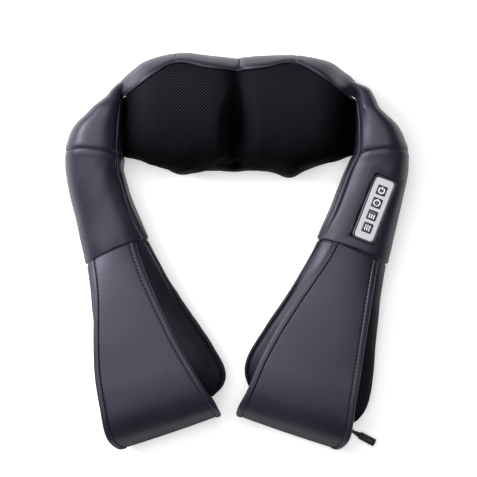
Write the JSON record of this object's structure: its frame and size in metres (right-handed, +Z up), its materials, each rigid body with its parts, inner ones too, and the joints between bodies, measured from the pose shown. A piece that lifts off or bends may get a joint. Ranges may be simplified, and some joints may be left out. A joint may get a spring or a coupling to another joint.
{
  "type": "shiatsu neck massager",
  "caption": "Collar-shaped padded massager: a mesh-fronted neck body with motor-driven kneading heads, stuffed arms with hand loops, a button panel and a short power lead.",
  "frame": {"origin": "middle of the object on the plane it lies on, without the power lead", "axes": "+Z up, away from the surface it lies on, out of the mesh panel; +Y from the hand loops towards the neck body; +X to the side that has the control panel"},
  "size_m": [0.3948, 0.4561, 0.0903],
  "materials": {
    "leather": "soft black synthetic leather with a fine grain and a satin sheen",
    "mesh_fabric": "black air mesh with small diamond-set holes",
    "foam": "dark grey open-cell foam",
    "black_plastic": "moulded, fine texture",
    "silver_plastic": "smooth silver lacquer",
    "nylon": "natural engineering nylon, satin",
    "steel": "bright turned steel",
    "bronze": "sintered bronze and copper winding",
    "circuit_board": "green solder mask with dark parts",
    "rubber": "soft black moulding"
  },
  "bodies": {
    "root": {"neck_cover_leather": "leather", "neck_cover_mesh": "mesh_fabric", "neck_foam": "foam", "shoulder_pad_left": "leather", "shoulder_pad_right": "leather", "housing_rear": "black_plastic", "housing_front": "black_plastic", "housing_screw_1": "steel", "housing_screw_2": "steel", "housing_screw_3": "steel", "housing_screw_4": "steel", "motor_can": "steel", "motor_cap": "nylon", "drive_bush_left": "bronze", "drive_bush_right": "bronze", "rear_bush_left": "bronze", "rear_bush_right": "bronze", "front_bush_left": "bronze", "front_bush_right": "bronze", "heater_board_left": "circuit_board", "heater_board_right": "circuit_board", "main_board": "circuit_board", "zip_slider": "steel"},
    "drive_rotor": {"drive_shaft": "steel", "motor_armature": "bronze", "worm_left": "nylon", "worm_right": "nylon"},
    "arm_left": {"arm_cover_left": "leather", "arm_foam_left": "foam", "hand_loop_left": "leather"},
    "arm_right": {"arm_cover_right": "leather", "arm_foam_right": "foam", "hand_loop_right": "leather", "panel_base": "black_plastic", "panel_faceplate": "silver_plastic", "button_board": "circuit_board", "cord_gland": "rubber", "power_lead": "rubber", "power_socket": "rubber", "socket_pin": "steel"},
    "head_left": {"output_shaft_left": "steel", "worm_wheel_left": "nylon", "head_carrier_left": "black_plastic", "node_axle_left_lower": "steel", "node_axle_left_upper": "steel"},
    "node_left_lower": {"massage_node_left_lower": "nylon"},
    "node_left_upper": {"massage_node_left_upper": "nylon"},
    "head_right": {"output_shaft_right": "steel", "worm_wheel_right": "nylon", "head_carrier_right": "black_plastic", "node_axle_right_lower": "steel", "node_axle_right_upper": "steel"},
    "node_right_lower": {"massage_node_right_lower": "nylon"},
    "node_right_upper": {"massage_node_right_upper": "nylon"},
    "key_power": {"button_power": "rubber"},
    "key_direction": {"button_direction": "rubber"},
    "key_speed": {"button_speed": "rubber"},
    "key_heat": {"button_heat": "rubber"}
  },
  "joints": [
    {"name": "head_left_spin", "type": "hinge", "parent": "root", "child": "head_left", "pos_m": [-0.062, 0.158, 0.036], "axis": [0, 0, 1], "continuous": true},
    {"name": "node_left_lower_spin", "type": "hinge", "parent": "head_left", "child": "node_left_lower", "pos_m": [-0.062, 0.133, 0.066], "axis": [0, 0, 1], "continuous": true},
    {"name": "node_left_upper_spin", "type": "hinge", "parent": "head_left", "child": "node_left_upper", "pos_m": [-0.062, 0.183, 0.066], "axis": [0, 0, 1], "continuous": true},
    {"name": "head_right_spin", "type": "hinge", "parent": "root", "child": "head_right", "pos_m": [0.062, 0.158, 0.036], "axis": [0, 0, 1], "continuous": true},
    {"name": "node_right_lower_spin", "type": "hinge", "parent": "head_right", "child": "node_right_lower", "pos_m": [0.062, 0.133, 0.066], "axis": [0, 0, 1], "continuous": true},
    {"name": "node_right_upper_spin", "type": "hinge", "parent": "head_right", "child": "node_right_upper", "pos_m": [0.062, 0.183, 0.066], "axis": [0, 0, 1], "continuous": true},
    {"name": "drive_rotor_spin", "type": "hinge", "parent": "root", "child": "drive_rotor", "pos_m": [0, 0.1276, 0.032], "axis": [1, 0, 0], "continuous": true},
    {"name": "arm_left_flex", "type": "hinge", "parent": "root", "child": "arm_left", "pos_m": [-0.168, 0.118, 0.056], "axis": [-1, 0, 0], "range_deg": [-8, 35]},
    {"name": "arm_right_flex", "type": "hinge", "parent": "root", "child": "arm_right", "pos_m": [0.168, 0.118, 0.056], "axis": [-1, 0, 0], "range_deg": [-8, 35]},
    {"name": "power_press", "type": "slide", "parent": "arm_right", "child": "key_power", "axis": [0, 0, -1], "range_m": [0, 0.0008], "stiffness_N_per_m": 600},
    {"name": "direction_press", "type": "slide", "parent": "arm_right", "child": "key_direction", "axis": [0, 0, -1], "range_m": [0, 0.0008], "stiffness_N_per_m": 600},
    {"name": "speed_press", "type": "slide", "parent": "arm_right", "child": "key_speed", "axis": [0, 0, -1], "range_m": [0, 0.0008], "stiffness_N_per_m": 600},
    {"name": "heat_press", "type": "slide", "parent": "arm_right", "child": "key_heat", "axis": [0, 0, -1], "range_m": [0, 0.0008], "stiffness_N_per_m": 600}
  ],
  "couplings": [
    {"joint": "head_right_spin", "follows": "head_left_spin", "ratio": -1},
    {"joint": "drive_rotor_spin", "follows": "head_left_spin", "ratio": 30}
  ]
}
